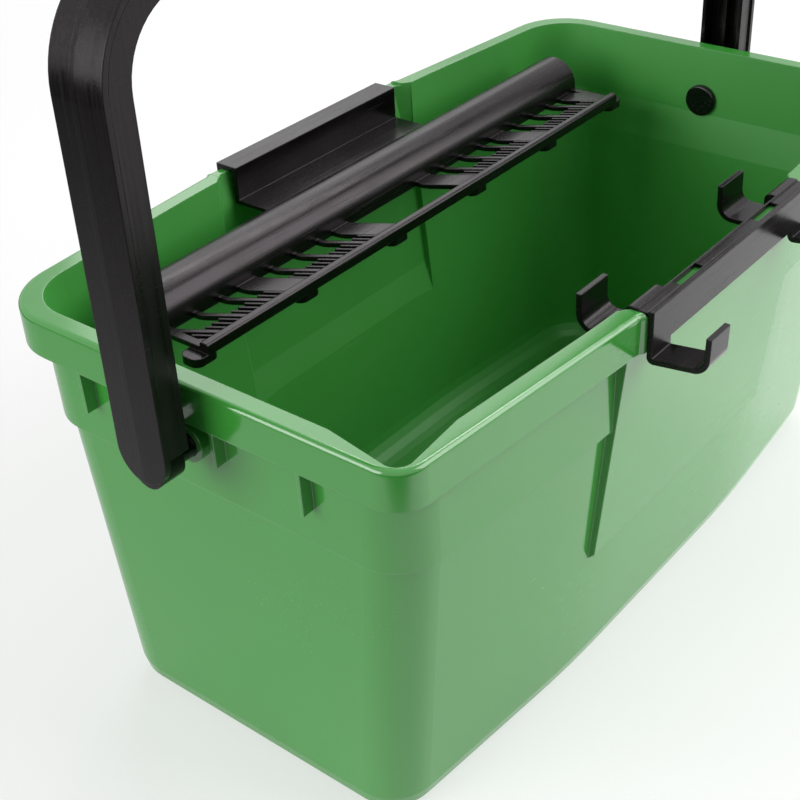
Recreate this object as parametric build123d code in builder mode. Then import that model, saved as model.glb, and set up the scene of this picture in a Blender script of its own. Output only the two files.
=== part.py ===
from build123d import *
import os
from math import cos, radians, sin, tan

# Window cleaning bucket: a moulded shell with a swinging bail, a lift-off tool holder on one long
# rim and a lift-off wringing sieve on the other. Millimetres, +Z up. The origin is the centre of
# the flat base, +X runs along the long side and the bail swings about an axis parallel to X.

# Shell sizes
rim_length = 522.0
end_width = 270.0
middle_width = 296.0
bucket_height = 256.0
wall = 3.0
floor_thickness = 3.5
base_edge_radius = 18.0
base_corner_radius = 8.0
base_edge_steps = 4

# Rim: a flat lip with a downturned skirt
lip_width = 11.5
lip_thickness = 3.0
lip_edge_radius = 2.8
skirt_height = 22.0
skirt_thickness = 3.0
rim_corner_radius = 40.0
band_corner_radius = 36.0
side_break_radius = 800.0

# Band under the skirt, the step below it and the drafted lower wall
band_height = 69.0
band_draft = 0.8
step_depth = 3.5
step_run = 4.0
inner_step_run = 26.0
end_draft = 1.0
side_draft = 5.5

# Bay in the middle of each long side
bay_half_length = 95.5
bay_depth = 155.0
bay_draft = 6.3
bay_side_wall = 13.0
bay_foot_height = 12.0
bay_face_inset = 2.7
bay_wall = 3.0
pocket_foot_rise = 22.0
pocket_run_out = 45.0
pocket_end_run = 10.0
pocket_end_depth = 7.8
pocket_end_radius = 8.0

# Seat in the rim for the tool holder and the sieve, between two small jogs in the rim
seat_half_length = 87.5
seat_depth = 1.5
rim_jog = 2.0
rim_jog_half_length = 89.5
rim_jog_run = 3.0
rim_jog_radius = 3.0

# Pouring lip in one corner, which is sharper than the other three
spout_rim_radius = 18.0
spout_wall_radius = 26.0
spout_reach = 38.0
spout_tip_inset = 3.3
spout_tip_radius = 8.0
spout_depth = 20.0
spout_slope = 28.0

# Ribs under the skirt on the two short sides
rib_thickness = 2.2
outer_rib_offset = 73.5
inner_rib_offset = 19.0
outer_rib_height = 25.5
inner_rib_height = 21.0
rib_skirt_inset = 1.2
rib_foot_inset = 2.0
rib_root = 1.5

# Bail pivot
pivot_drop = 37.0
pin_radius = 7.0
pin_running_clearance = 0.06
pivot_boss_radius = 10.5
pivot_boss_inset = 2.5
pin_head_radius = 11.0
pin_head_thickness = 3.5
pin_head_dome = 1.5
pin_seat_depth = 11.0
side_play = 0.3

# Bail handle
arm_width = 32.0
arm_depth = 17.0
arm_gap = 8.5
arm_plate = 4.0
arm_crown = 0.6
arm_lip = 1.2
arm_web = 2.6
arm_rib = 2.2
arm_rib_height = 8.0
arm_end_rise = 9.5
arm_boss_radius = 10.5
bail_reach = 226.0
bail_corner_radius = 45.0
grip_half_length = 65.0
grip_width = 34.0
grip_height = 27.0
grip_corner_radius = 11.0
grip_end_radius = 4.0

# Saddles of the tool holder and the sieve
saddle_plate = 3.0
saddle_flange = 3.0
saddle_clearance = 0.3
saddle_inner_gap = 1.5
saddle_skirt = 20.0

# Tool holder
holder_half_length = 87.0
holder_overhang = 0.5
hook_root_drop = 13.0
hook_root_radius = 2.0
hook_bend_radius = 8.0
outer_hook_width = 18.5
outer_hook_shelf_drop = 26.5
outer_hook_shelf_rise = 4.0
outer_hook_reach = 30.7
outer_hook_lip_lean = 0.5
outer_hook_lip_drop = 3.5
inner_hook_width = 25.5
inner_hook_shelf_drop = 20.5
inner_hook_reach = 28.0
inner_hook_lip_lean = 0.5
inner_hook_lip_drop = 1.5
holder_slot_length = 24.0
holder_slot_width = 5.2
holder_slot_offset = 42.0
holder_slot_edge = 3.4
holder_groove_depth = 0.8

# Sieve
sieve_saddle_half_length = 76.0
sieve_wall = 2.5
sieve_web_drop = 19.5
ridge_radius = 17.5
ridge_setback = 48.0
ridge_drop = 26.0
grid_drop = 28.0
grid_thickness = 3.0
grid_width = 36.5
bar_width = 6.0
bar_drop = 25.0
bar_height = 8.0
bar_edge_radius = 2.0
rib_count = 6
rib_pitch = 80.5
cross_rib_width = 15.0
end_rib_width = 5.0
foot_width = 17.0
foot_length = 14.0
foot_depth = 5.0
foot_edge_radius = 5.0
blades_per_bay = 3
blade_width = 3.0
blade_straight = 6.0
blade_slant = 16.0
blade_bend_radius = 12.0
teeth_per_gap = 3
tooth_width = 1.6
tooth_length = 15.0

# Worked-out places
half_length = rim_length / 2
half_end = end_width / 2
half_middle = middle_width / 2
skirt_bottom = bucket_height - skirt_height
step_level = bucket_height - band_height
step_foot = step_level - step_run
pivot_height = bucket_height - pivot_drop
band_inset = lip_width - wall
band_foot_inset = band_inset + band_height * tan(radians(band_draft))
wall_top_inset = band_foot_inset + step_depth
side_slope = (half_middle - half_end) / (half_length - bay_half_length)
bay_rim_half = half_middle + rim_jog
bay_face_top = bay_rim_half - bay_face_inset
seat_level = bucket_height - seat_depth


def bay_face_at(drop):
    """Outer face of the bay, measured from the middle plane, at a drop below the rim."""
    return bay_face_top - drop * tan(radians(bay_draft))


def band_inset_at(drop):
    """Inset of the band's outer face from the skirt at a drop below the rim."""
    return band_inset + drop * tan(radians(band_draft))


def round_corners(sketch, plain_radius, spout_radius):
    """Round a plan outline's four end corners, the one at the pouring lip by a radius of its own."""
    reach = max(vertex.X for vertex in sketch.vertices())
    corners = [vertex for vertex in sketch.vertices() if abs(vertex.X) > reach - wall]
    spout_corner = min(corners, key=lambda vertex: vertex.X + vertex.Y)
    fillet([corner for corner in corners if corner is not spout_corner], plain_radius)
    near = min(sketch.vertices(), key=lambda vertex: vertex.X + vertex.Y)
    fillet(near, spout_radius)


def wall_plan(level, end_inset, side_inset, base_share, thickness):
    """Plan of the barrel-sided wall at one level, moved in from the skirt at its ends and sides.

    The corner radii go over to the base's as base_share rises to 1, and shrink by the thickness.
    """
    corner_x = half_length - end_inset
    corner_y = half_end + side_slope * end_inset - side_inset
    middle_y = half_middle - side_inset
    with BuildSketch(Plane.XY.offset(level)) as plan:
        with BuildLine():
            Polyline(
                (corner_x, -corner_y),
                (corner_x, corner_y),
                (bay_half_length, middle_y),
                (-bay_half_length, middle_y),
                (-corner_x, corner_y),
                (-corner_x, -corner_y),
                (-bay_half_length, -middle_y),
                (bay_half_length, -middle_y),
                close=True,
            )
        make_face()
        breaks = [vertex for vertex in plan.vertices() if abs(vertex.X) < corner_x - wall]
        fillet(breaks, side_break_radius)
        wall_share = 1 - base_share
        plain_radius = (band_corner_radius - thickness) * wall_share + base_corner_radius * base_share
        spout_radius = (spout_wall_radius - thickness) * wall_share + base_corner_radius * base_share
        round_corners(plan, plain_radius, spout_radius)
    return plan.sketch


def rim_plan(level, inset):
    """Plan of the rim, which swells out over the bays, moved in from the skirt by an inset."""
    jog_start = rim_jog_half_length + rim_jog_run / 2
    jog_end = rim_jog_half_length - rim_jog_run / 2
    with BuildSketch(Plane.XY.offset(level)) as plan:
        with BuildLine():
            Polyline(
                (half_length, -half_end),
                (half_length, half_end),
                (jog_start, half_middle),
                (jog_end, bay_rim_half),
                (-jog_end, bay_rim_half),
                (-jog_start, half_middle),
                (-half_length, half_end),
                (-half_length, -half_end),
                (-jog_start, -half_middle),
                (-jog_end, -bay_rim_half),
                (jog_end, -bay_rim_half),
                (jog_start, -half_middle),
                close=True,
            )
        make_face()
        if inset:
            offset(amount=-inset, kind=Kind.INTERSECTION, mode=Mode.REPLACE)
        jogs = [vertex for vertex in plan.vertices() if abs(vertex.X) < half_length - inset - wall]
        fillet(jogs, rim_jog_radius)
        round_corners(plan, rim_corner_radius - inset, spout_rim_radius - inset)
    return plan.sketch


def bay_profile(side, inset, top, depth, run_out_height):
    """Section of one bay across the bucket: a drafted face that runs out above the base."""
    face_top = bay_face_top - inset
    face_foot = bay_face_at(depth) - inset
    run_out = face_foot - bay_foot_height
    top_face = face_top + (top - bucket_height) * tan(radians(bay_draft))
    foot_level = bucket_height - depth
    with BuildSketch(Plane.YZ) as profile:
        with BuildLine():
            Polyline(
                (side * run_out, top),
                (side * top_face, top),
                (side * face_foot, foot_level),
                (side * run_out, foot_level - run_out_height),
                close=True,
            )
        make_face()
    return profile.sketch


def drafted_plan(level, edge_inset, base_share, thickness):
    """Plan of the drafted lower wall at a level between the base and the foot of the step."""
    drop = step_foot - level
    inset = wall_top_inset + edge_inset + thickness
    end_inset = inset + drop * tan(radians(end_draft))
    side_inset = inset + drop * tan(radians(side_draft))
    return wall_plan(level, end_inset, side_inset, base_share, thickness)


def banded_plan(level, thickness):
    """Plan of the upright band at a level between the step and the lip."""
    inset = band_inset_at(bucket_height - level) + thickness
    return wall_plan(level, inset, inset, 0, thickness)


def wall_body(base_level, edge_radius, thickness, ramp_height, top_level):
    """Plans of the wall from the base up: round the base edge, up the draft, over the step, up the band."""
    plans = []
    for place in range(base_edge_steps + 1):
        turn = radians(90 * place / base_edge_steps)
        base_share = 1 - sin(turn)
        level = base_level + edge_radius * (1 - cos(turn))
        plans.append(drafted_plan(level, edge_radius * base_share, base_share, thickness))
    plans.append(drafted_plan(step_foot, 0, 0, thickness))
    plans.append(banded_plan(step_foot + ramp_height, thickness))
    plans.append(banded_plan(top_level, thickness))
    return plans


# Pockets of the two bays, with sloping ends
bay_inner_half_length = bay_half_length - bay_side_wall
pocket_half_length = bay_inner_half_length + pocket_end_run
pocket_face = bay_face_top - bay_wall
pocket_shoulder = pocket_face - pocket_end_depth
pocket_depth = bay_depth - pocket_foot_rise
with BuildPart() as pockets:
    for side in (-1, 1):
        pocket = bay_profile(side, bay_wall, bucket_height, pocket_depth, pocket_run_out)
        extrude(pocket, amount=pocket_half_length, both=True)
    with BuildSketch() as pocket_plan:
        with BuildLine():
            Polyline(
                (bay_inner_half_length, pocket_face),
                (pocket_half_length, pocket_shoulder),
                (pocket_half_length, -pocket_shoulder),
                (bay_inner_half_length, -pocket_face),
                (-bay_inner_half_length, -pocket_face),
                (-pocket_half_length, -pocket_shoulder),
                (-pocket_half_length, pocket_shoulder),
                (-bay_inner_half_length, pocket_face),
                close=True,
            )
        make_face()
        corners = [vertex for vertex in pocket_plan.vertices() if abs(vertex.Y) > pocket_shoulder + wall]
        fillet(corners, pocket_end_radius)
    extrude(amount=bucket_height, mode=Mode.INTERSECT)

# Hollow of the bucket
floor_edge_radius = base_edge_radius - wall
with BuildPart() as hollow:
    loft(wall_body(floor_thickness, floor_edge_radius, wall, inner_step_run, bucket_height), ruled=True)
    add(pockets.part)

# Bucket shell
lip_underside = bucket_height - lip_thickness
ribs_at_pivot = [
    (-outer_rib_offset, outer_rib_height),
    (-inner_rib_offset, inner_rib_height),
    (inner_rib_offset, inner_rib_height),
    (outer_rib_offset, outer_rib_height),
]
rib_back = half_length - band_inset_at(skirt_height + outer_rib_height) - rib_root
boss_root = half_length - band_inset_at(pivot_drop) - rib_root
boss_length = half_length - pivot_boss_inset - boss_root
spout_far_side = lip_width - half_end - side_slope * (spout_reach + lip_width)
with BuildPart() as bucket_shell:
    extrude(rim_plan(skirt_bottom, 0), amount=skirt_height)
    fillet(bucket_shell.faces().sort_by(Axis.Z)[-1].edges(), lip_edge_radius)
    under_lip = rim_plan(skirt_bottom, skirt_thickness)
    extrude(under_lip, amount=skirt_height - lip_thickness, mode=Mode.SUBTRACT)
    loft(wall_body(0, base_edge_radius, 0, step_run, lip_underside), ruled=True)
    for side in (-1, 1):
        bay = bay_profile(side, 0, lip_underside, bay_depth, bay_foot_height)
        extrude(bay, amount=bay_half_length, both=True)
    # Corner block behind the pouring lip, then the hollow and the lip's sloping groove
    with BuildSketch(Plane.XY.offset(skirt_bottom)) as corner_block:
        add(rim_plan(0, skirt_thickness / 2))
        with Locations((-half_length, -half_end)):
            Rectangle(2 * spout_reach, 2 * spout_reach, mode=Mode.INTERSECT)
    extrude(amount=skirt_height - lip_thickness / 2)
    add(hollow.part, mode=Mode.SUBTRACT)
    with BuildSketch(Plane.XY.offset(bucket_height)) as spout:
        with BuildLine():
            Polyline(
                (lip_width - half_length, spout_reach + lip_width - half_end),
                (spout_tip_inset - half_length, spout_tip_inset - half_end),
                (spout_reach + lip_width - half_length, spout_far_side),
                (spout_reach + lip_width - half_length, spout_reach + lip_width - half_end),
                close=True,
            )
        make_face()
        tip = spout.vertices().sort_by(lambda vertex: vertex.X + vertex.Y)[0]
        fillet(tip, spout_tip_radius)
    extrude(amount=-spout_depth, taper=spout_slope, mode=Mode.SUBTRACT)

    # Seats for the tool holder and the sieve
    with BuildSketch(Plane.XY.offset(seat_level)) as seats:
        Rectangle(2 * seat_half_length, end_width + middle_width)
    extrude(amount=2 * seat_depth, mode=Mode.SUBTRACT)

    # Ribs under the skirt and bearing bosses on the two short sides
    for end in (-1, 1):
        for offset_from_pivot, rib_height in ribs_at_pivot:
            with BuildSketch(Plane.XZ.offset(-offset_from_pivot)) as rib:
                with BuildLine():
                    Polyline(
                        (end * rib_back, lip_underside),
                        (end * (half_length - rib_skirt_inset), lip_underside),
                        (end * (half_length - rib_foot_inset), skirt_bottom - rib_height),
                        (end * rib_back, skirt_bottom - rib_height),
                        close=True,
                    )
                make_face()
            extrude(amount=rib_thickness / 2, both=True)
        with BuildSketch(Plane.YZ.offset(end * boss_root)) as boss:
            with Locations((0, pivot_height)):
                Circle(pivot_boss_radius)
        extrude(amount=end * boss_length)
        with BuildSketch(Plane.YZ.offset(end * (boss_root - wall))) as bearing:
            with Locations((0, pivot_height)):
                Circle(pin_radius + pin_running_clearance)
        extrude(amount=end * (boss_length + 2 * wall), mode=Mode.SUBTRACT)

bucket_shell.part.label = "bucket_shell"
os.makedirs("parts", exist_ok=True)
export_step(bucket_shell.part, "parts/bucket_shell.step")

# Bail handle: a ribbed channel bent round two corners, with a grip and two pivot bosses
arm_middle = half_length + arm_gap + arm_depth / 2
arm_outer = half_length + arm_gap + arm_depth
arm_inner = half_length + arm_gap
arm_end = pivot_height + arm_end_rise
bail_top = pivot_height + bail_reach
arm_foot = arm_end - arm_width / 2
channel_width = arm_width - 2 * arm_lip
plate_inside = arm_depth / 2 - arm_plate
plate_edge = arm_depth / 2 - arm_crown
with BuildPart() as bail_handle:
    with BuildSketch(Plane.YZ) as grip:
        with Locations((0, bail_top)):
            RectangleRounded(grip_width, grip_height, grip_corner_radius)
    extrude(amount=grip_half_length, both=True)
    fillet(bail_handle.faces().filter_by(Axis.X).edges(), grip_end_radius)
    with BuildLine(Plane.XZ) as bail_path:
        FilletPolyline(
            (-arm_middle, arm_foot),
            (-arm_middle, bail_top),
            (arm_middle, bail_top),
            (arm_middle, arm_foot),
            radius=bail_corner_radius,
        )
    section_plane = Plane(origin=(-arm_middle, 0, arm_foot), x_dir=(-1, 0, 0), z_dir=(0, 0, 1))
    with BuildSketch(section_plane) as channel:
        with BuildLine():
            Polyline(
                (plate_inside, -arm_width / 2),
                (plate_edge, -arm_width / 2),
                (arm_depth / 2, 0),
                (plate_edge, arm_width / 2),
                (plate_inside, arm_width / 2),
                close=True,
            )
        make_face()
        for side in (-1, 1):
            with Locations(((plate_inside - arm_depth / 2) / 2, side * (channel_width - arm_web) / 2)):
                Rectangle(arm_depth - arm_plate, arm_web)
        with Locations((plate_inside - arm_rib_height / 2, 0)):
            Rectangle(arm_rib_height, arm_rib)
    sweep(path=bail_path.wires()[0])
    for end in (-1, 1):
        with BuildSketch(Plane.YZ.offset(end * arm_inner)) as web_cut:
            with Locations((0, (arm_foot + arm_end) / 2)):
                Rectangle(arm_width, arm_end - arm_foot)
        extrude(amount=end * (arm_depth - arm_plate), mode=Mode.SUBTRACT)
        with BuildSketch(Plane.YZ.offset(end * arm_inner)) as foot_cut:
            with Locations((0, (arm_foot + arm_end) / 2)):
                Rectangle(arm_width, arm_end - arm_foot)
            with Locations((0, arm_end)):
                Circle(arm_width / 2, mode=Mode.SUBTRACT)
        extrude(amount=end * arm_depth, mode=Mode.SUBTRACT)
        with BuildSketch(Plane.YZ.offset(end * arm_inner)) as arm_boss:
            with Locations((0, pivot_height)):
                Circle(arm_boss_radius)
        extrude(amount=end * (arm_depth - arm_plate / 2))
        with BuildSketch(Plane.YZ.offset(end * arm_inner)) as pin_seat:
            with Locations((0, pivot_height)):
                Circle(pin_radius)
        extrude(amount=end * pin_seat_depth, mode=Mode.SUBTRACT)
bail_handle.part.label = "bail_handle"
export_step(bail_handle.part, "parts/bail_handle.step")

# Pivot pins: pressed into the arm bosses, turning in the shell, headed inside the bucket
head_seat = half_length - band_inset_at(pivot_drop + pin_head_radius) - wall - side_play
for end, pin_name in ((-1, "pivot_pin_left"), (1, "pivot_pin_right")):
    with BuildPart() as pivot_pin:
        with BuildSketch(Plane.YZ.offset(end * head_seat)) as shank:
            with Locations((0, pivot_height)):
                Circle(pin_radius)
        extrude(amount=end * (arm_inner + pin_seat_depth - head_seat))
        with BuildSketch(Plane.YZ.offset(end * head_seat)) as head:
            with Locations((0, pivot_height)):
                Circle(pin_head_radius)
        extrude(amount=-end * pin_head_thickness)
        rings = pivot_pin.edges().filter_by(GeomType.CIRCLE)
        crown = rings.sort_by(lambda edge: abs(edge.center().X))[0]
        fillet(crown, pin_head_dome)
    pivot_pin.part.label = pin_name
    export_step(pivot_pin.part, f"parts/{pin_name}.step")

# Saddle that hangs the tool holder and the sieve on the rim over a bay
saddle_top = seat_level + saddle_plate
saddle_outer = bay_rim_half + saddle_clearance + saddle_flange


def saddle_inner_at(drop):
    """Face of a saddle's inner flange that looks at the bay, clear of the bay's drafted wall."""
    return bay_face_at(drop) - bay_wall - saddle_inner_gap


def saddle_points(side, inner_edge):
    """Corners of a plate over the rim, from the foot of its outer flange to its inner edge and back."""
    return [
        (side * saddle_outer, bucket_height - saddle_skirt),
        (side * saddle_outer, saddle_top),
        (side * inner_edge, saddle_top),
        (side * inner_edge, seat_level),
        (side * (saddle_outer - saddle_flange), seat_level),
        (side * (saddle_outer - saddle_flange), bucket_height - saddle_skirt),
    ]


# Tool holder on the near long rim
holder_face = saddle_inner_at(inner_hook_shelf_drop + saddle_flange / 2)
outer_root = saddle_outer - saddle_flange / 2
outer_lip_foot = outer_root + outer_hook_reach
outer_lip_tip = outer_lip_foot + outer_hook_lip_lean
outer_shelf = bucket_height - outer_hook_shelf_drop
inner_root = holder_face - saddle_flange / 2
inner_lip_foot = inner_root - inner_hook_reach
inner_lip_tip = inner_lip_foot - inner_hook_lip_lean
inner_shelf = bucket_height - inner_hook_shelf_drop
plate_edge = pocket_face - holder_overhang
plate_middle = seat_level + saddle_plate / 2
with BuildPart() as tool_holder:
    with BuildSketch(Plane.YZ) as holder_saddle:
        with BuildLine():
            Polyline(*saddle_points(-1, plate_edge), close=True)
        make_face()
    extrude(amount=holder_half_length, both=True)
    for end in (-1, 1):
        with BuildSketch(Plane.YZ.offset(end * (holder_half_length - outer_hook_width / 2))) as outer_hook:
            with BuildLine():
                FilletPolyline(
                    (-outer_root, bucket_height - hook_root_drop),
                    (-outer_root, outer_shelf),
                    (-outer_lip_foot, outer_shelf + outer_hook_shelf_rise),
                    (-outer_lip_tip, bucket_height - outer_hook_lip_drop),
                    radius=[hook_root_radius, hook_bend_radius],
                )
            trace(line_width=saddle_flange)
        extrude(amount=outer_hook_width / 2, both=True)
        with BuildSketch(Plane.YZ.offset(end * (holder_half_length - inner_hook_width / 2))) as inner_hook:
            with BuildLine():
                FilletPolyline(
                    (-plate_edge - saddle_plate, plate_middle),
                    (-inner_root, plate_middle),
                    (-inner_root, inner_shelf),
                    (-inner_lip_foot, inner_shelf),
                    (-inner_lip_tip, bucket_height - inner_hook_lip_drop),
                    radius=[hook_root_radius, hook_root_radius, hook_bend_radius],
                )
            trace(line_width=saddle_flange)
        extrude(amount=inner_hook_width / 2, both=True)
    slot_middle = -(saddle_outer - holder_slot_edge - holder_slot_width / 2)
    with BuildSketch(Plane.XY.offset(seat_level)) as holder_slots:
        with Locations((-holder_slot_offset, slot_middle), (holder_slot_offset, slot_middle)):
            Rectangle(holder_slot_length, holder_slot_width)
    extrude(amount=saddle_plate, mode=Mode.SUBTRACT)
    with BuildSketch(Plane.XY.offset(saddle_top)) as holder_groove:
        with Locations((0, slot_middle)):
            Rectangle(2 * holder_half_length, holder_slot_width)
    extrude(amount=-holder_groove_depth, mode=Mode.SUBTRACT)
tool_holder.part.label = "tool_holder"
export_step(tool_holder.part, "parts/tool_holder.step")

# Sieve on the far long rim
web_level = bucket_height - sieve_web_drop
sieve_hang = saddle_inner_at(sieve_web_drop + sieve_wall)
hang_foot = web_level - sieve_wall
ridge_middle = sieve_hang - ridge_setback
ridge_level = bucket_height - ridge_drop
ridge_wall_middle = ridge_radius - sieve_wall / 2
web_front = ridge_middle + ridge_wall_middle
grid_top = bucket_height - grid_drop
grid_bottom = grid_top - grid_thickness
grid_back = ridge_middle - ridge_radius + sieve_wall
grid_front = grid_back - grid_width
bar_middle = grid_front + bar_width / 2
blade_back = ridge_middle - ridge_wall_middle
last_bay = (rib_count - 1) // 2
bladed_bays = [bay for bay in range(-last_bay, last_bay + 1) if bay]
sieve_half_length = (rib_count - 1) / 2 * rib_pitch
rib_places = [place * rib_pitch - sieve_half_length for place in range(rib_count)]
blade_pitch = rib_pitch / (blades_per_bay + 1)
tooth_pitch = blade_pitch / (teeth_per_gap + 1)
tooth_lean = blade_slant / (blade_back - blade_straight - bar_middle)


def blade(bar_place, width):
    """Strip from the ridge's foot to the bar: it leaves the ridge squarely and bends along the sieve."""
    with BuildLine() as path:
        FilletPolyline(
            (bar_place - blade_slant, blade_back),
            (bar_place - blade_slant, blade_back - blade_straight),
            (bar_place, bar_middle),
            radius=blade_bend_radius,
        )
    trace(path.edges(), line_width=width)


def tooth(bar_place):
    """Comb tooth that stands on the bar and leans as the blades do."""
    with BuildLine() as path:
        Line((bar_place - tooth_length * tooth_lean, bar_middle + tooth_length), (bar_place, bar_middle))
    trace(path.edges(), line_width=tooth_width)


with BuildPart() as sieve:
    with BuildSketch(Plane.YZ) as sieve_saddle:
        with BuildLine():
            Polyline(*saddle_points(1, sieve_hang - saddle_flange), close=True)
        make_face()
        with Locations((sieve_hang - saddle_flange / 2, (saddle_top + hang_foot) / 2)):
            Rectangle(saddle_flange, saddle_top - hang_foot)
        with Locations(((sieve_hang + web_front) / 2, web_level - sieve_wall / 2)):
            Rectangle(sieve_hang - web_front, sieve_wall)
    extrude(amount=sieve_saddle_half_length, both=True)
    with BuildSketch(Plane.YZ) as ridge:
        with Locations((ridge_middle, ridge_level)):
            Circle(ridge_radius)
            Circle(ridge_radius - sieve_wall, mode=Mode.SUBTRACT)
            with Locations((0, -ridge_radius)):
                Rectangle(2 * ridge_radius, 2 * ridge_radius, mode=Mode.SUBTRACT)
        for side in (-1, 1):
            with Locations((ridge_middle + side * ridge_wall_middle, (ridge_level + grid_bottom) / 2)):
                Rectangle(sieve_wall, ridge_level - grid_bottom)
        with Locations((bar_middle, bucket_height - bar_drop - bar_height / 2)):
            RectangleRounded(bar_width, bar_height, bar_edge_radius)
    extrude(amount=sieve_half_length, both=True)
    with BuildSketch(Plane.XY.offset(grid_top)) as grid:
        for place in rib_places:
            blade(place, cross_rib_width)
        for bay in bladed_bays:
            bay_start = (bay - 0.5) * rib_pitch
            for place in range(1, blades_per_bay + 1):
                blade(bay_start + place * blade_pitch, blade_width)
            for gap in range(blades_per_bay + 1):
                for place in range(1, teeth_per_gap + 1):
                    tooth(bay_start + gap * blade_pitch + place * tooth_pitch)
        with Locations((0, (blade_back + bar_middle) / 2)):
            Rectangle(2 * sieve_half_length, blade_back - bar_middle, mode=Mode.INTERSECT)
        for end in (-1, 1):
            with Locations((end * (sieve_half_length - end_rib_width / 2), (blade_back + bar_middle) / 2)):
                Rectangle(end_rib_width, blade_back - bar_middle)
    extrude(amount=-grid_thickness)
    for place in rib_places:
        with BuildSketch(Plane.XY.offset(grid_bottom)) as foot:
            with Locations((place, grid_front + foot_length / 2)):
                RectangleRounded(foot_width, foot_length, foot_edge_radius)
        extrude(amount=-foot_depth)
sieve.part.label = "sieve"
export_step(sieve.part, "parts/sieve.step")
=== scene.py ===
from math import cos, radians, sin

import bpy
import numpy as np
from bpy.props import FloatProperty, FloatVectorProperty, PointerProperty
from mathutils import Matrix, Vector


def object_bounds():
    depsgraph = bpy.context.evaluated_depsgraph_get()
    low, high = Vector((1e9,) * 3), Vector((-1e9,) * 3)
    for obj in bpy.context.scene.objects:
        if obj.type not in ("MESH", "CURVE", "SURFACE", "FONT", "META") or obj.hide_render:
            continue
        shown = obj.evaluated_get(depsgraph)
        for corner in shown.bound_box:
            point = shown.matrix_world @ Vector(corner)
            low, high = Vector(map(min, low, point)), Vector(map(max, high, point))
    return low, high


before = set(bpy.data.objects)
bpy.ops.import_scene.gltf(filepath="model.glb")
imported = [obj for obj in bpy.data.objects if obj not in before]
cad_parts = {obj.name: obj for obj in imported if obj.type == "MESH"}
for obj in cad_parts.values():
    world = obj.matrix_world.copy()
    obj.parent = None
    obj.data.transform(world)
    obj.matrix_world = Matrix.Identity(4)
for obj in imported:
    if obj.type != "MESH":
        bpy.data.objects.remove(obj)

bl_info = {
    "name": "Window cleaning bucket",
    "version": (1, 0, 0),
    "blender": (4, 5, 0),
    "location": "3D View > Sidebar > Bucket",
    "description": "Dresses a moulded window cleaning bucket with its bail, tool holder and sieve",
    "category": "Object",
}

# The CAD model's box and the names of the nodes
CAD_LOW, CAD_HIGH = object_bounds()
SHELL_NODE = "bucket_shell"
BAIL_NODE = "bail_handle"
PIN_NODES = ("pivot_pin_left", "pivot_pin_right")
HOLDER_NODE = "tool_holder"
SIEVE_NODE = "sieve"

# Values that several materials use
WHITE = (1.0, 1.0, 1.0)
PLUM = (1.0, 0.9, 0.96)
PLASTIC_IOR = 1.5
SCUFF_ROUGHNESS = 0.25
ROUNDING_SAMPLES = 6

# Settings of the shared effects, where a pair is the levels between which something fades in
NOISE_MIDDLE = 0.5
NOISE_BULK = (0.3, 0.7)
EDGE_SAMPLES = 4
EDGE_AGREEMENT = (0.995, 0.8)
EDGE_PATCH_SPAN = 0.2
SCRATCH_TURNS = ((0.3, 0.2, 0.5), (1.1, -0.4, 2.0), (-0.7, 0.9, 1.2))
SCRATCH_STRETCH = (14.0, 900.0, 900.0)
SCRATCH_CREST_SPAN = 0.05
SCRATCH_PATCHES = (0.45, 0.65)
DUST_FACING = (0.3, 0.95)
DUST_SPECKS = (0.52, 0.75)
DUST_DRIFTS = (0.35, 0.75)
BOTTOM_FACING = (0.2, 0.6)

# Camera, in millimetres for the sensor and metres for the reach of its sight
SENSOR_WIDTH = 36.0
SIGHT_REACH = (0.01, 50.0)

# Floor
FLOOR_CELLS = 2
FLOOR_ROUGHNESS = 0.8

# Lamps: name, place and sides in metres, and power in watts
LAMPS = (
    ("left_lamp", (-2.2, 0.8, 0.95), (1.6, 1.6), 38.0),
    ("right_lamp", (1.06, -1.7, 1.6), (2.0, 2.0), 49.0),
    ("back_lamp", (1.4, 1.4, 1.6), (1.2, 1.2), 6.0),
    ("top_lamp", (1.05, 0.45, 1.85), (1.6, 0.35), 11.0),
)
LAMP_TARGET = (0.0, 0.0, 0.2)


# Values that a user would change

class BucketFinish(bpy.types.PropertyGroup):
    """Colours and surface sizes of the moulded plastics."""

    shell_colour: FloatVectorProperty(
        name="Shell colour",
        description="Green of the moulded shell",
        subtype="COLOR",
        size=3,
        min=0.0,
        max=1.0,
        default=(0.05, 0.335, 0.045),
    )
    # Painted highlight: on the shell's edges this paler green stands in for the light lines that rounded
    # edges catch; in the scratches it is scuffing.
    shell_scuff_colour: FloatVectorProperty(
        name="Shell scuff colour",
        description="Paler green where an edge or a scratch has turned cloudy",
        subtype="COLOR",
        size=3,
        min=0.0,
        max=1.0,
        default=(0.16, 0.47, 0.16),
    )
    black_colour: FloatVectorProperty(
        name="Fittings colour",
        description="Black of the bail, the pins, the tool holder and the sieve",
        subtype="COLOR",
        size=3,
        min=0.0,
        max=1.0,
        default=(0.0024, 0.0019, 0.0021),
    )
    black_scuff_colour: FloatVectorProperty(
        name="Fittings scuff colour",
        description="Grey where an edge or a scratch of a black piece has turned dull",
        subtype="COLOR",
        size=3,
        min=0.0,
        max=1.0,
        default=(0.03, 0.027, 0.029),
    )
    dust_colour: FloatVectorProperty(
        name="Dust colour",
        description="Fine dust on faces that look up",
        subtype="COLOR",
        size=3,
        min=0.0,
        max=1.0,
        default=(0.42, 0.40, 0.40),
    )
    inside_dullness: FloatProperty(
        name="Inside dullness",
        description="Roughness that the inside of the shell has above its outside",
        subtype="FACTOR",
        default=0.4,
    )
    edge_round: FloatProperty(
        name="Edge rounding",
        description="Radius to which moulded edges look rounded",
        unit="LENGTH",
        default=0.0009,
    )


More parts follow.
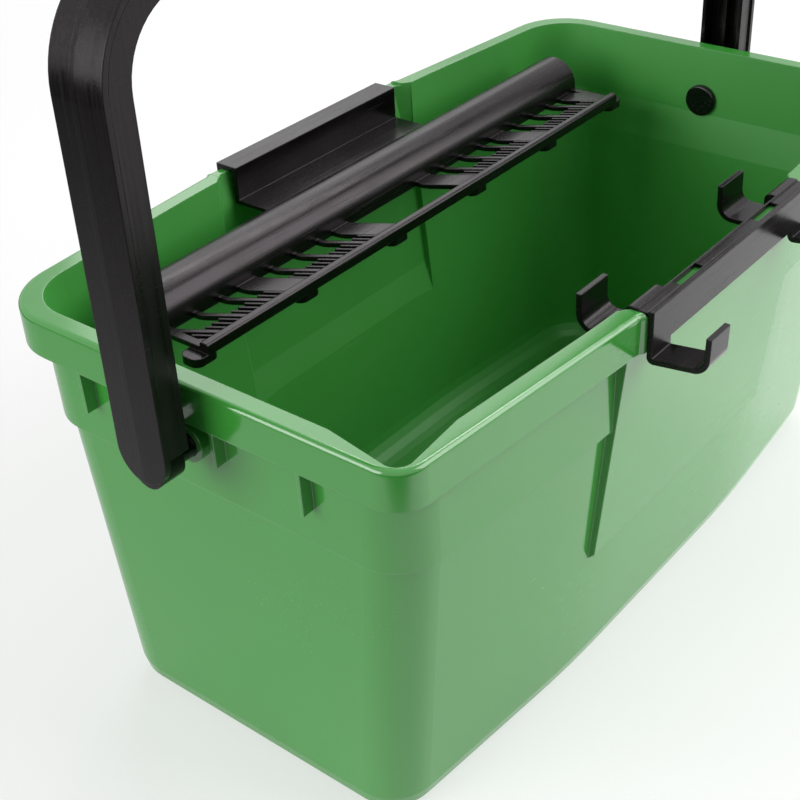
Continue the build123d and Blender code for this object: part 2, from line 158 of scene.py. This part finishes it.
class BucketStage(bpy.types.PropertyGroup):
    """Camera, floor and light."""

    camera_place: FloatVectorProperty(
        name="Camera place",
        description="Where the camera stands, from the centre of the bucket's base",
        subtype="TRANSLATION",
        size=3,
        default=(-0.6166, -0.4371, 0.6066),
    )
    camera_heading: FloatProperty(
        name="Camera heading",
        description="Direction of view seen from above, turned from the long side's own direction",
        subtype="ANGLE",
        default=radians(40.16),
    )
    camera_dip: FloatProperty(
        name="Camera dip",
        description="How far the camera looks down",
        subtype="ANGLE",
        default=radians(33.63),
    )
    camera_roll: FloatProperty(
        name="Camera roll",
        description="Tilt of the picture about the line of sight",
        subtype="ANGLE",
        default=radians(-3.19),
    )
    lens: FloatProperty(
        name="Lens",
        description="Focal length on a 36 mm sensor, in millimetres",
        default=63.81,
    )
    floor_reach: FloatProperty(
        name="Floor reach",
        description="Half the side of the floor",
        unit="LENGTH",
        default=6.0,
    )
    floor_tone: FloatProperty(
        name="Floor tone",
        description="How pale the floor is as the camera sees it lit",
        subtype="FACTOR",
        default=0.45,
    )
    floor_glow: FloatProperty(
        name="Floor glow",
        description="White that the floor adds where it is seen directly or in a reflection",
        subtype="FACTOR",
        default=0.55,
    )
    floor_bounce: FloatProperty(
        name="Floor bounce",
        description="How pale the floor is as a surface that lights the bucket",
        subtype="FACTOR",
        default=0.8,
    )
    # Painted shade: past this edge, in front, the floor turns dark to reflections and bounce light,
    # though the camera sees it white.
    front_edge: FloatVectorProperty(
        name="Front edge of the white",
        description="Where the floor's light on the bucket starts and ends dying away, to the front",
        unit="LENGTH",
        size=2,
        default=(0.53, 0.62),
    )
    # Painted shade: past this edge, at the left, the floor turns dark to reflections and bounce light,
    # though the camera sees it white.
    left_edge: FloatVectorProperty(
        name="Left edge of the white",
        description="Where the floor's light on the bucket starts and ends dying away, to the left",
        unit="LENGTH",
        size=2,
        default=(-0.3, 1.35),
    )
    far_fade: FloatVectorProperty(
        name="Far fade",
        description="From where to where the floor turns plain white to the camera, all round",
        unit="LENGTH",
        size=2,
        default=(1.0, 2.2),
    )
    sky_light: FloatProperty(
        name="Sky light",
        description="Strength of the white surroundings as a light",
        subtype="FACTOR",
        default=0.19,
    )


# Nodes, made and joined in one call each

def feed(tree, socket, value):
    """Sets an input socket to a plain value, or links it to an output socket."""
    if isinstance(value, bpy.types.NodeSocket):
        tree.links.new(value, socket)
    else:
        socket.default_value = value


def calculate(tree, operation, *values):
    """The result of a math node on numbers or output sockets."""
    node = tree.nodes.new("ShaderNodeMath")
    node.operation = operation
    for socket, value in zip(node.inputs, values):
        feed(tree, socket, value)
    return node.outputs[0]


def calculate_vector(tree, operation, *vectors):
    """The outputs Vector and Value of a vector math node."""
    node = tree.nodes.new("ShaderNodeVectorMath")
    node.operation = operation
    for socket, vector in zip(node.inputs, vectors):
        feed(tree, socket, vector)
    return node.outputs


def split(tree, vector):
    """The outputs X, Y and Z of a vector."""
    node = tree.nodes.new("ShaderNodeSeparateXYZ")
    feed(tree, node.inputs["Vector"], vector)
    return node.outputs


def noise(tree, place, scale, detail):
    """The value of a noise texture at a place."""
    node = tree.nodes.new("ShaderNodeTexNoise")
    node.inputs["Detail"].default_value = detail
    feed(tree, node.inputs["Vector"], place)
    feed(tree, node.inputs["Scale"], scale)
    return node.outputs["Fac"]


def stretched(tree, place, turn, scale):
    """A place turned by three angles and scaled along three axes, for patterns with a direction."""
    node = tree.nodes.new("ShaderNodeMapping")
    node.inputs["Rotation"].default_value = turn
    node.inputs["Scale"].default_value = scale
    feed(tree, node.inputs["Vector"], place)
    return node.outputs["Vector"]


def ramp(tree, value, low, high, start=0.0, end=1.0):
    """A value carried from the range low to high over to start to end, and held at the ends."""
    node = tree.nodes.new("ShaderNodeMapRange")
    labels = ("Value", "From Min", "From Max", "To Min", "To Max")
    for label, number in zip(labels, (value, low, high, start, end)):
        feed(tree, node.inputs[label], number)
    return node.outputs["Result"]


def either(tree, switch, off, on):
    """One value where a switch is nought and another where it is one."""
    return ramp(tree, switch, low=0.0, high=1.0, start=off, end=on)


def blended(tree, share, first, second):
    """Two colours mixed by a share, on the sockets that the mix node keeps for colours."""
    node = tree.nodes.new("ShaderNodeMix")
    node.data_type = "RGBA"
    sockets = {socket.identifier: socket for socket in (*node.inputs, *node.outputs)}
    feed(tree, sockets["Factor_Float"], share)
    feed(tree, sockets["A_Color"], first)
    feed(tree, sockets["B_Color"], second)
    return sockets["Result_Color"]


def object_place(tree):
    """Object coordinates, which are the bucket's own metres."""
    return tree.nodes.new("ShaderNodeTexCoord").outputs["Object"]


def face_normal(tree):
    """The direction in which a face looks."""
    return tree.nodes.new("ShaderNodeNewGeometry").outputs["Normal"]


def new_group(name, inputs, outputs):
    """An empty shader node group with named sockets, and its two end nodes."""
    group = bpy.data.node_groups.new(name, "ShaderNodeTree")
    for label, kind, value in inputs:
        socket = group.interface.new_socket(name=label, in_out="INPUT", socket_type=kind)
        socket.default_value = value
    for label, kind in outputs:
        group.interface.new_socket(name=label, in_out="OUTPUT", socket_type=kind)
    return group, group.nodes.new("NodeGroupInput"), group.nodes.new("NodeGroupOutput")


def made_once(make):
    """A group's maker that hands out the group of its own name where that is made already."""
    def once():
        name = make.__name__
        if name in bpy.data.node_groups:
            return bpy.data.node_groups[name]
        return make(name)
    return once


# Effects that the plastics share

@made_once
def moulded_skin(name):
    """Moulded plastic: broad flow clouds in the colour, a fine grain and a little sink in the height."""
    group, start, end = new_group(
        name,
        (
            ("Colour", "NodeSocketColor", (0.5, 0.5, 0.5, 1.0)),
            ("Cloud Scale", "NodeSocketFloat", 12.0),
            ("Cloud Spread", "NodeSocketFloat", 0.06),
            ("Grain Scale", "NodeSocketFloat", 1400.0),
            ("Sink Scale", "NodeSocketFloat", 22.0),
            ("Sink Share", "NodeSocketFloat", 0.6),
            ("Rough Low", "NodeSocketFloat", 0.2),
            ("Rough High", "NodeSocketFloat", 0.3),
        ),
        (
            ("Colour", "NodeSocketColor"),
            ("Roughness", "NodeSocketFloat"),
            ("Height", "NodeSocketFloat"),
        ),
    )
    place = object_place(group)
    clouds = noise(group, place, start.outputs["Cloud Scale"], detail=3.0)
    centred = calculate(group, "SUBTRACT", clouds, NOISE_MIDDLE)
    tone = calculate(group, "MULTIPLY_ADD", centred, start.outputs["Cloud Spread"], 1.0)
    toned = calculate_vector(group, "MULTIPLY", start.outputs["Colour"], tone)
    feed(group, end.inputs["Colour"], toned["Vector"])

    height = group.nodes.new("ShaderNodeMix")
    feed(group, height.inputs["Factor"], start.outputs["Sink Share"])
    feed(group, height.inputs["A"], noise(group, place, start.outputs["Grain Scale"], detail=2.0))
    feed(group, height.inputs["B"], noise(group, place, start.outputs["Sink Scale"], detail=0.0))
    feed(group, end.inputs["Height"], height.outputs["Result"])

    polish = ramp(group, clouds, *NOISE_BULK, start.outputs["Rough Low"], start.outputs["Rough High"])
    feed(group, end.inputs["Roughness"], polish)
    return group


@made_once
def edge_wear(name):
    """Edges: where a rounded normal leaves the face's own normal, broken up by a patchy noise."""
    group, start, end = new_group(
        name,
        (
            ("Width", "NodeSocketFloat", 0.001),
            ("Patch Scale", "NodeSocketFloat", 60.0),
            ("Patch Level", "NodeSocketFloat", 0.42),
        ),
        (("Mask", "NodeSocketFloat"),),
    )
    rounded = group.nodes.new("ShaderNodeBevel")
    rounded.samples = EDGE_SAMPLES
    feed(group, rounded.inputs["Radius"], start.outputs["Width"])
    agreement = calculate_vector(group, "DOT_PRODUCT", rounded.outputs["Normal"], face_normal(group))
    edge = ramp(group, agreement["Value"], *EDGE_AGREEMENT)
    patches = noise(group, object_place(group), start.outputs["Patch Scale"], detail=4.0)
    full_level = calculate(group, "ADD", start.outputs["Patch Level"], EDGE_PATCH_SPAN)
    patches = ramp(group, patches, start.outputs["Patch Level"], full_level)
    feed(group, end.inputs["Mask"], calculate(group, "MULTIPLY", edge, patches))
    return group


@made_once
def hair_scratches(name):
    """Hairline scratches: stretched noise in three directions, of which the thin crests are kept."""
    group, start, end = new_group(
        name,
        (
            ("Crest", "NodeSocketFloat", 0.7),
            ("Patch Scale", "NodeSocketFloat", 9.0),
        ),
        (("Mask", "NodeSocketFloat"),),
    )
    place = object_place(group)
    full_crest = calculate(group, "ADD", start.outputs["Crest"], SCRATCH_CREST_SPAN)
    mask = 0.0
    for turn in SCRATCH_TURNS:
        lines = noise(group, stretched(group, place, turn, SCRATCH_STRETCH), scale=1.0, detail=1.0)
        crests = ramp(group, lines, start.outputs["Crest"], full_crest)
        mask = calculate(group, "MAXIMUM", mask, crests)
    patches = noise(group, place, start.outputs["Patch Scale"], detail=2.0)
    patches = ramp(group, patches, *SCRATCH_PATCHES)
    feed(group, end.inputs["Mask"], calculate(group, "MULTIPLY", mask, patches))
    return group


@made_once
def settled_dust(name):
    """Dust: fine specks in loose drifts, only on faces that look up."""
    group, start, end = new_group(
        name,
        (
            ("Speck Scale", "NodeSocketFloat", 1800.0),
            ("Drift Scale", "NodeSocketFloat", 25.0),
        ),
        (("Mask", "NodeSocketFloat"),),
    )
    place = object_place(group)
    upward = ramp(group, split(group, face_normal(group))["Z"], *DUST_FACING)
    specks = noise(group, place, start.outputs["Speck Scale"], detail=1.0)
    drifts = noise(group, place, start.outputs["Drift Scale"], detail=3.0)
    settled = calculate(
        group,
        "MULTIPLY",
        ramp(group, specks, *DUST_SPECKS),
        ramp(group, drifts, *DUST_DRIFTS),
    )
    feed(group, end.inputs["Mask"], calculate(group, "MULTIPLY", settled, upward))
    return group


@made_once
def flow_lines(name):
    """Flow of the melt: noise drawn out along one direction, centred on nought."""
    group, start, end = new_group(
        name,
        (("Stretch", "NodeSocketVector", (1.0, 1.0, 1.0)),),
        (("Lines", "NodeSocketFloat"),),
    )
    drawn = calculate_vector(group, "MULTIPLY", object_place(group), start.outputs["Stretch"])
    lines = noise(group, drawn["Vector"], scale=1.0, detail=3.0)
    feed(group, end.inputs["Lines"], ramp(group, lines, *NOISE_BULK, -NOISE_MIDDLE, NOISE_MIDDLE))
    return group


@made_once
def parting_line(name):
    """The mould's parting line: a thin stripe at one distance from the middle, across the piece."""
    group, start, end = new_group(
        name,
        (
            ("Offset", "NodeSocketFloat", 0.0),
            ("Half Width", "NodeSocketFloat", 0.0003),
        ),
        (("Mask", "NodeSocketFloat"),),
    )
    across = split(group, object_place(group))["Y"]
    distance = calculate(group, "SUBTRACT", across, start.outputs["Offset"])
    distance = calculate(group, "ABSOLUTE", distance)
    stripe = ramp(group, distance, low=0.0, high=start.outputs["Half Width"], start=1.0, end=0.0)
    feed(group, end.inputs["Mask"], stripe)
    return group


@made_once
def inward_faces(name):
    """One on faces that look to the bucket's middle or up from its bottom, which are duller."""
    group, start, end = new_group(
        name,
        (
            ("Sharpness", "NodeSocketFloat", 40.0),
            ("Bottom Top", "NodeSocketFloat", 0.03),
        ),
        (("Mask", "NodeSocketFloat"),),
    )
    place = split(group, object_place(group))
    facing = split(group, face_normal(group))
    along = calculate(group, "MULTIPLY", place["X"], facing["X"])
    outward = calculate(group, "MULTIPLY_ADD", place["Y"], facing["Y"], along)
    inward = calculate(group, "MULTIPLY", outward, -1.0)
    walls = calculate(group, "MULTIPLY", inward, start.outputs["Sharpness"])
    low = calculate(group, "LESS_THAN", place["Z"], start.outputs["Bottom Top"])
    bottom = calculate(group, "MULTIPLY", ramp(group, facing["Z"], *BOTTOM_FACING), low)
    mask = calculate(group, "MAXIMUM", walls, bottom)
    feed(group, end.inputs["Mask"], ramp(group, mask, low=0.0, high=1.0))
    return group


# Plastics

class Plastic:
    """A moulded plastic in the making: the tint, roughness and height that its layers give so far."""

    def __init__(self, name, colour, **skin):
        self.material = bpy.data.materials.new(name)
        self.material.use_nodes = True
        self.tree = self.material.node_tree
        self.shader = self.tree.nodes["Principled BSDF"]
        surface = self.place(moulded_skin(), colour=(*colour, 1.0), **skin)
        self.tint = surface["Colour"]
        self.rough = surface["Roughness"]
        self.height = surface["Height"]

    def place(self, group, **values):
        """The outputs of a group with its own input values; underscores stand for spaces."""
        node = self.tree.nodes.new("ShaderNodeGroup")
        node.node_tree = group
        for label, value in values.items():
            feed(self.tree, node.inputs[label.replace("_", " ").title()], value)
        return node.outputs

    def roughen(self, mask, amount):
        """Adds an amount of roughness where a mask is."""
        self.rough = calculate(self.tree, "MULTIPLY_ADD", mask, amount, self.rough)

    def cover(self, mask, share, colour):
        """Lays a colour over the tint where a mask is."""
        covered = calculate(self.tree, "MULTIPLY", mask, share)
        self.tint = blended(self.tree, covered, self.tint, (*colour, 1.0))

    def flow(self, amount, **values):
        """Flow lines in the polish."""
        self.roughen(self.place(flow_lines(), **values)["Lines"], amount)

    def dull_inside(self, amount):
        """A duller skin on the faces that look inwards."""
        self.roughen(self.place(inward_faces())["Mask"], amount)

    def wear(self, share, colour, **values):
        """Paler, rougher edges: scuffs, and on the shell also a painted highlight along its rounded
        edges.
        """
        mask = self.place(edge_wear(), **values)["Mask"]
        self.cover(mask, share, colour)
        self.roughen(mask, SCUFF_ROUGHNESS)

    def scratch(self, share, colour, **values):
        """Hairline scratches, cut into the skin."""
        mask = self.place(hair_scratches(), **values)["Mask"]
        self.cover(mask, share, colour)
        self.roughen(mask, SCUFF_ROUGHNESS)
        self.height = calculate(self.tree, "SUBTRACT", self.height, mask)

    def part(self, share, colour, **values):
        """The line where the halves of the mould met, a little proud of the skin."""
        mask = self.place(parting_line(), **values)["Mask"]
        self.cover(mask, share, colour)
        self.height = calculate(self.tree, "ADD", self.height, mask)

    def dust(self, share, colour, **values):
        """A breath of dust on top of everything."""
        mask = self.place(settled_dust(), **values)["Mask"]
        self.cover(mask, share, colour)
        self.roughen(mask, share)

    def finish(self, edge_round, relief_height, relief_strength, reflectance, sheen_tint):
        """Joins the layers to the shader, with rounded edges under the relief."""
        rounded = self.tree.nodes.new("ShaderNodeBevel")
        rounded.samples = ROUNDING_SAMPLES
        rounded.inputs["Radius"].default_value = edge_round
        relief = self.tree.nodes.new("ShaderNodeBump")
        relief.inputs["Distance"].default_value = relief_height
        relief.inputs["Strength"].default_value = relief_strength
        feed(self.tree, relief.inputs["Height"], self.height)
        feed(self.tree, relief.inputs["Normal"], rounded.outputs["Normal"])
        feed(self.tree, self.shader.inputs["Base Color"], self.tint)
        feed(self.tree, self.shader.inputs["Roughness"], self.rough)
        feed(self.tree, self.shader.inputs["Normal"], relief.outputs["Normal"])
        self.shader.inputs["IOR"].default_value = PLASTIC_IOR
        self.shader.inputs["Specular IOR Level"].default_value = reflectance
        self.shader.inputs["Specular Tint"].default_value = (*sheen_tint, 1.0)
        return self.material


def green_plastic(look):
    """Glossy green polypropylene of the shell, duller on its inside."""
    plastic = Plastic(
        "green_polypropylene",
        look.shell_colour,
        cloud_scale=9.0,
        cloud_spread=0.08,
        rough_low=0.08,
        rough_high=0.13,
    )
    plastic.flow(amount=0.03, stretch=(50.0, 50.0, 4.0))
    plastic.dull_inside(look.inside_dullness)
    # Painted highlight: the paler green along the shell's edges stands in for the light lines its
    # rounded edges catch, on top of a little scuffing.
    plastic.wear(
        share=0.7,
        colour=look.shell_scuff_colour,
        width=0.0009,
        patch_scale=25.0,
        patch_level=0.28,
    )
    plastic.scratch(share=0.15, colour=look.shell_scuff_colour, crest=0.71, patch_scale=7.0)
    plastic.dust(share=0.04, colour=look.dust_colour, speck_scale=1500.0)
    return plastic.finish(
        look.edge_round,
        relief_height=0.00012,
        relief_strength=0.2,
        reflectance=0.9,
        sheen_tint=WHITE,
    )


def bail_plastic(look):
    """Black polypropylene of the bail, drawn along its arms, with the mould's parting line."""
    plastic = Plastic(
        "black_bail",
        look.black_colour,
        cloud_scale=16.0,
        cloud_spread=0.4,
        sink_share=0.4,
        rough_low=0.22,
        rough_high=0.34,
    )
    plastic.flow(amount=0.14, stretch=(420.0, 420.0, 5.0))
    plastic.part(share=0.3, colour=look.black_scuff_colour, offset=0.003, half_width=0.00035)
    plastic.wear(share=0.5, colour=look.black_scuff_colour, width=0.0007, patch_scale=70.0)
    plastic.scratch(share=0.4, colour=look.black_scuff_colour, crest=0.68, patch_scale=14.0)
    plastic.dust(share=0.08, colour=look.dust_colour, speck_scale=1800.0)
    return plastic.finish(
        look.edge_round,
        relief_height=0.0001,
        relief_strength=0.25,
        reflectance=0.24,
        sheen_tint=PLUM,
    )


def fitting_plastic(look):
    """Satin black polypropylene of the tool holder and the sieve, which share one material."""
    name = "black_fittings"
    if name in bpy.data.materials:
        return bpy.data.materials[name]
    plastic = Plastic(
        name,
        look.black_colour,
        cloud_scale=30.0,
        cloud_spread=0.3,
        sink_share=0.3,
        rough_low=0.2,
        rough_high=0.3,
    )
    plastic.flow(amount=0.08, stretch=(6.0, 300.0, 300.0))
    plastic.wear(share=0.5, colour=look.black_scuff_colour, width=0.0007, patch_scale=70.0)
    plastic.scratch(share=0.4, colour=look.black_scuff_colour, crest=0.68, patch_scale=14.0)
    plastic.dust(share=0.1, colour=look.dust_colour, speck_scale=1800.0)
    return plastic.finish(
        look.edge_round,
        relief_height=0.0001,
        relief_strength=0.25,
        reflectance=0.3,
        sheen_tint=PLUM,
    )


def pin_plastic(look):
    """Black acetal of the pivot pins, turned smooth and rubbed where they run."""
    plastic = Plastic(
        "black_acetal",
        look.black_colour,
        cloud_scale=80.0,
        cloud_spread=0.2,
        sink_share=0.1,
        rough_low=0.16,
        rough_high=0.24,
    )
    plastic.flow(amount=0.12, stretch=(900.0, 20.0, 20.0))
    plastic.wear(share=0.6, colour=look.black_scuff_colour, width=0.0006, patch_scale=90.0)
    plastic.scratch(share=0.5, colour=look.black_scuff_colour, crest=0.66, patch_scale=40.0)
    return plastic.finish(
        look.edge_round,
        relief_height=0.00008,
        relief_strength=0.2,
        reflectance=0.35,
        sheen_tint=WHITE,
    )


# Pieces

def dress(material, *nodes):
    """Puts one material on CAD nodes."""
    for node in nodes:
        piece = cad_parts[node]
        piece.data.materials.clear()
        piece.data.materials.append(material)


class BUCKET_OT_shell(bpy.types.Operator):
    """Finish the moulded green shell"""

    bl_idname = "bucket.shell"
    bl_label = "Shell"

    def execute(self, context):
        dress(green_plastic(context.scene.bucket_finish), SHELL_NODE)
        return {"FINISHED"}


class BUCKET_OT_bail(bpy.types.Operator):
    """Finish the bail and its two pivot pins"""

    bl_idname = "bucket.bail"
    bl_label = "Bail and pins"

    def execute(self, context):
        dress(bail_plastic(context.scene.bucket_finish), BAIL_NODE)
        dress(pin_plastic(context.scene.bucket_finish), *PIN_NODES)
        return {"FINISHED"}


class BUCKET_OT_holder(bpy.types.Operator):
    """Finish the tool holder on the near rim"""

    bl_idname = "bucket.holder"
    bl_label = "Tool holder"

    def execute(self, context):
        dress(fitting_plastic(context.scene.bucket_finish), HOLDER_NODE)
        return {"FINISHED"}


class BUCKET_OT_sieve(bpy.types.Operator):
    """Finish the wringing sieve on the far rim"""

    bl_idname = "bucket.sieve"
    bl_label = "Sieve"

    def execute(self, context):
        dress(fitting_plastic(context.scene.bucket_finish), SIEVE_NODE)
        return {"FINISHED"}


# Stage

def add_camera(stage):
    """Camera by heading, dip and roll: its sight turns about Z and dips, and the picture rolls."""
    sight = Vector((
        cos(stage.camera_dip) * cos(stage.camera_heading),
        cos(stage.camera_dip) * sin(stage.camera_heading),
        -sin(stage.camera_dip),
    ))
    level = sight.cross(Vector((0.0, 0.0, 1.0))).normalized()
    upright = level.cross(sight)
    right = level * cos(stage.camera_roll) + upright * sin(stage.camera_roll)
    up = upright * cos(stage.camera_roll) - level * sin(stage.camera_roll)
    data = bpy.data.cameras.new("camera")
    data.lens = stage.lens
    data.sensor_width = SENSOR_WIDTH
    data.clip_start, data.clip_end = SIGHT_REACH
    camera = bpy.data.objects.new("camera", data)
    bpy.context.scene.collection.objects.link(camera)
    turn = Matrix((right, up, -sight)).transposed().to_4x4()
    camera.matrix_world = Matrix.Translation(Vector(stage.camera_place)) @ turn
    bpy.context.scene.camera = camera


def add_lamp(name, place, target, sides, power):
    """A soft lamp at a place, aimed at a target; its first side lies level."""
    data = bpy.data.lights.new(name, "AREA")
    data.shape = "RECTANGLE"
    data.size, data.size_y = sides
    data.energy = power
    lamp = bpy.data.objects.new(name, data)
    bpy.context.scene.collection.objects.link(lamp)
    aim = (Vector(target) - Vector(place)).to_track_quat("-Z", "Y").to_matrix().to_4x4()
    lamp.matrix_world = Matrix.Translation(Vector(place)) @ aim


def to_camera(tree):
    """One for rays straight from the camera."""
    return tree.nodes.new("ShaderNodeLightPath").outputs["Is Camera Ray"]


def seen_directly(tree):
    """One for rays from the camera, mirrors and glass, and nought for diffuse light."""
    path = tree.nodes.new("ShaderNodeLightPath")
    seen = calculate(tree, "MAXIMUM", path.outputs["Is Camera Ray"], path.outputs["Is Glossy Ray"])
    return calculate(tree, "MAXIMUM", seen, path.outputs["Is Transmission Ray"])


def floor_light(tree, stage):
    """How much of the floor lights the bucket and shows in its reflections: all up to a soft edge in
    front and one at the left, beyond which the floor is painted dark, a painted shade that only bounce
    light and reflections see.
    """
    front = Vector((-cos(stage.camera_heading), -sin(stage.camera_heading), 0.0))
    left = Vector((-sin(stage.camera_heading), cos(stage.camera_heading), 0.0))
    place = object_place(tree)
    light = 1.0
    for direction, edge in ((front, stage.front_edge), (left, stage.left_edge)):
        distance = calculate_vector(tree, "DOT_PRODUCT", place, direction)["Value"]
        near = ramp(tree, distance, *edge, start=1.0, end=0.0)
        light = calculate(tree, "MULTIPLY", near, light)
    return light


def far_floor(tree, stage):
    """Nought on the floor about the bucket and one far away, by the distance from its middle."""
    distance = calculate_vector(tree, "LENGTH", object_place(tree))["Value"]
    return ramp(tree, distance, *stage.far_fade)


def floor_material(stage):
    """A pale floor that keeps soft shadows about the bucket and is white to the camera where nothing
    shades it; to bounce light and reflections it is painted dark in front and at the left, which lays
    painted shade in the bucket's reflections.
    """
    material = bpy.data.materials.new("white_floor")
    material.use_nodes = True
    tree = material.node_tree
    shader = tree.nodes["Principled BSDF"]
    light = floor_light(tree, stage)
    far = far_floor(tree, stage)

    # Painted shade: the floor's bounce light and its glow in reflections die away in front and at the
    # left, while the camera still sees white there.
    bounce = calculate(tree, "MULTIPLY", light, stage.floor_bounce)
    seen_tone = either(tree, far, off=stage.floor_tone, on=0.0)
    feed(tree, shader.inputs["Base Color"], either(tree, to_camera(tree), off=bounce, on=seen_tone))
    shader.inputs["Roughness"].default_value = FLOOR_ROUGHNESS

    mirrored = calculate(tree, "MULTIPLY", seen_directly(tree), stage.floor_glow)
    mirrored = calculate(tree, "MULTIPLY", mirrored, light)
    seen_glow = either(tree, far, off=stage.floor_glow, on=1.0)
    glow = either(tree, to_camera(tree), off=mirrored, on=seen_glow)
    feed(tree, shader.inputs["Emission Strength"], glow)
    shader.inputs["Emission Color"].default_value = (*WHITE, 1.0)
    return material


def add_floor(stage):
    """A square floor on a grid of two parameters, flat at the height of the bucket's base."""
    row = FLOOR_CELLS + 1
    reach = np.linspace(-stage.floor_reach, stage.floor_reach, row)
    along, across = np.meshgrid(reach, reach)
    points = np.stack((along, across, np.full_like(along, CAD_LOW.z)), axis=-1).reshape(-1, 3)
    cells = np.arange(FLOOR_CELLS)
    corners = (cells[:, None] * row + cells).ravel()
    faces = corners[:, None] + np.array((0, 1, row + 1, row))
    mesh = bpy.data.meshes.new("floor")
    mesh.from_pydata(points.tolist(), [], faces.tolist())
    floor = bpy.data.objects.new("floor", mesh)
    bpy.context.scene.collection.objects.link(floor)
    mesh.materials.append(floor_material(stage))


def set_world(stage):
    """A plain white sky: full white to the camera and to mirrors, softer as a light."""
    world = bpy.data.worlds.new("studio")
    bpy.context.scene.world = world
    world.use_nodes = True
    tree = world.node_tree
    sky = tree.nodes["Background"]
    sky.inputs["Color"].default_value = (*WHITE, 1.0)
    strength = either(tree, seen_directly(tree), off=stage.sky_light, on=1.0)
    feed(tree, sky.inputs["Strength"], strength)


class BUCKET_OT_stage(bpy.types.Operator):
    """Set up the camera, the floor and the soft lamps"""

    bl_idname = "bucket.stage"
    bl_label = "Stage"

    def execute(self, context):
        stage = context.scene.bucket_stage
        context.scene.view_settings.view_transform = "Standard"
        add_camera(stage)
        add_floor(stage)
        set_world(stage)
        for name, place, sides, power in LAMPS:
            add_lamp(name, place, LAMP_TARGET, sides, power)
        return {"FINISHED"}


# Add-on

OPERATORS = (BUCKET_OT_shell, BUCKET_OT_bail, BUCKET_OT_holder, BUCKET_OT_sieve, BUCKET_OT_stage)


class BUCKET_PT_sidebar(bpy.types.Panel):
    """Buttons and values for the bucket"""

    bl_idname = "BUCKET_PT_sidebar"
    bl_label = "Window cleaning bucket"
    bl_space_type = "VIEW_3D"
    bl_region_type = "UI"
    bl_category = "Bucket"

    def draw(self, context):
        column = self.layout.column()
        for group in (context.scene.bucket_finish, context.scene.bucket_stage):
            for name in group.__annotations__:
                column.prop(group, name)
        for operator in OPERATORS:
            column.operator(operator.bl_idname)


CLASSES = (BucketFinish, BucketStage, *OPERATORS, BUCKET_PT_sidebar)


def register():
    for item in CLASSES:
        bpy.utils.register_class(item)
    bpy.types.Scene.bucket_finish = PointerProperty(type=BucketFinish)
    bpy.types.Scene.bucket_stage = PointerProperty(type=BucketStage)


def unregister():
    del bpy.types.Scene.bucket_stage
    del bpy.types.Scene.bucket_finish
    for item in reversed(CLASSES):
        bpy.utils.unregister_class(item)


def main():
    register()
    bpy.ops.bucket.shell()
    bpy.ops.bucket.bail()
    bpy.ops.bucket.holder()
    bpy.ops.bucket.sieve()
    bpy.ops.bucket.stage()


if __name__ == "__main__":
    main()
